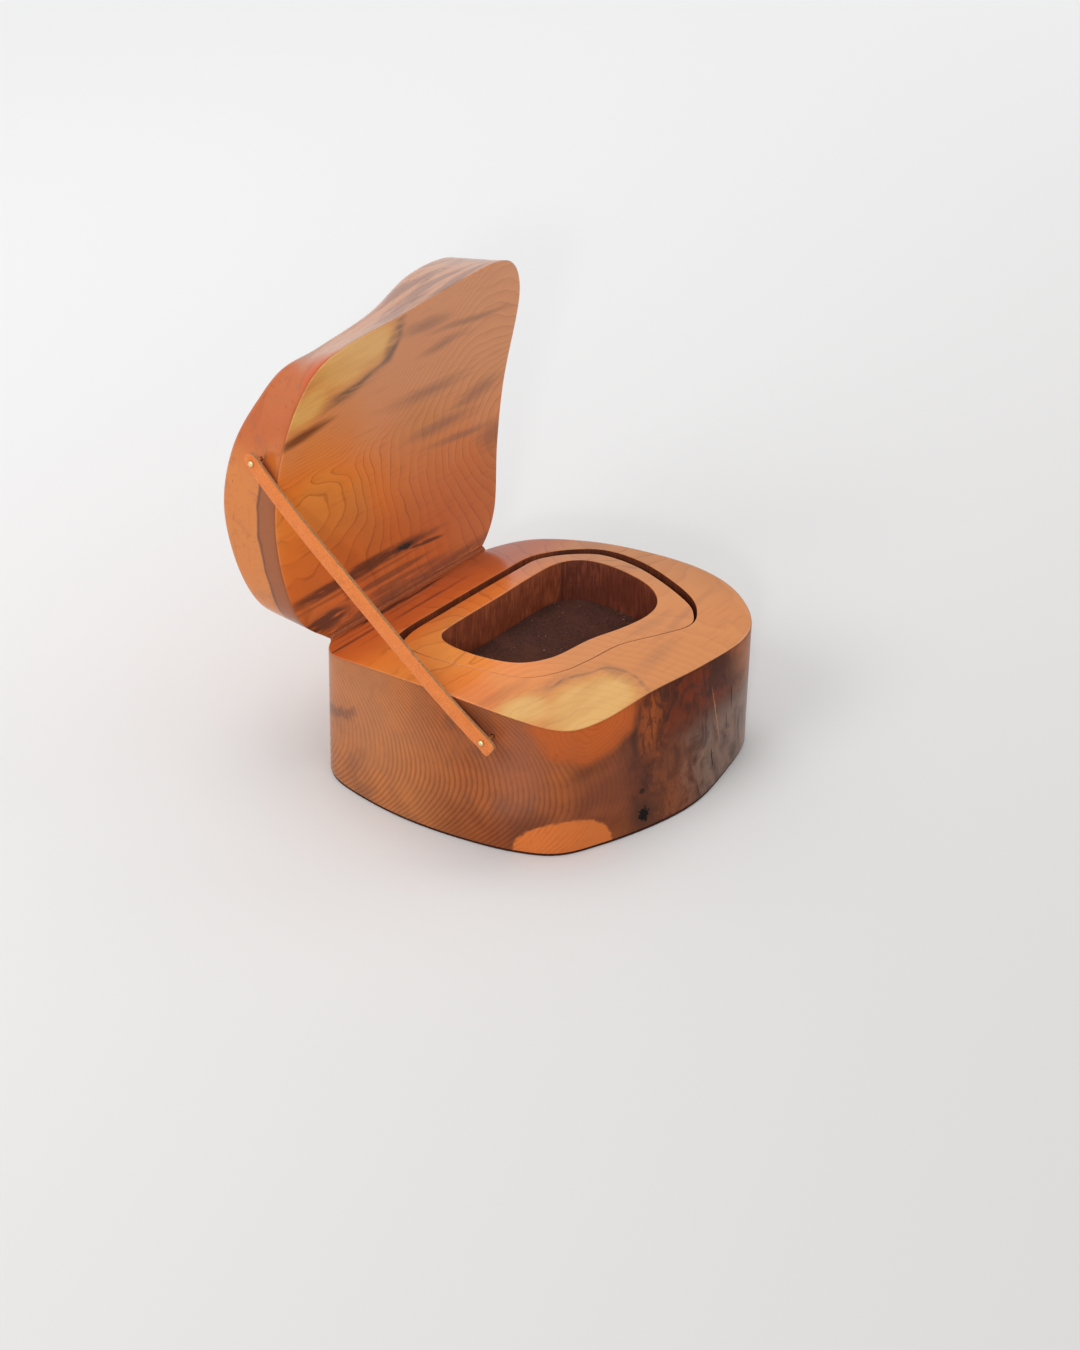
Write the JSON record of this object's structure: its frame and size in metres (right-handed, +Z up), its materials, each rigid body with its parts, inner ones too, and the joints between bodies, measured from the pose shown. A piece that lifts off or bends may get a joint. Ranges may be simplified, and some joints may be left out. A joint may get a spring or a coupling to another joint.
{
  "type": "wooden jewel box",
  "caption": "Freeform wooden box whose lid turns on a leather hinge and rests open against a leather strap, with a lift-out lined tray over a lined compartment.",
  "frame": {"origin": "middle of the underside, on the surface that the box stands on", "axes": "+X along the hinge from left to right, +Y to the hinged back, so the front faces -Y, +Z up; the lid is open at rest"},
  "size_m": [0.1709, 0.2081, 0.2094],
  "materials": {
    "underlay_suede": "matte suede",
    "yew_floor": "polished",
    "yew_block": "polished",
    "yew_support": "rough sawn",
    "pocket_suede": "matte suede",
    "yew_tray": "polished rim, rough sawn walls",
    "yew_tray_floor": "satin",
    "tray_suede": "matte suede",
    "yew_lid": "polished",
    "hinge_hide": "rough",
    "strap_hide": "rough",
    "base_pin_brass": "polished",
    "lid_pin_brass": "polished"
  },
  "bodies": {
    "base": {"base_underlay": "underlay_suede", "base_floor": "yew_floor", "base_block": "yew_block", "tray_support": "yew_support", "pocket_lining": "pocket_suede", "base_strap_pin": "base_pin_brass", "stay_strap": "strap_hide", "hinge_leather": "hinge_hide"},
    "lid": {"lid_block": "yew_lid", "lid_strap_pin": "lid_pin_brass"},
    "tray": {"tray_body": "yew_tray", "tray_floor": "yew_tray_floor", "tray_lining": "tray_suede"}
  },
  "joints": [
    {"name": "lid_hinge", "type": "hinge", "parent": "base", "child": "lid", "pos_m": [0, 0.07045, 0.065], "axis": [1, 0, 0], "range_deg": [0, 93], "deforming": ["stay_strap", "hinge_leather"]},
    {"name": "tray_lift", "type": "slide", "parent": "base", "child": "tray", "axis": [0, 0, 1], "range_m": [0, 0.08]}
  ]
}
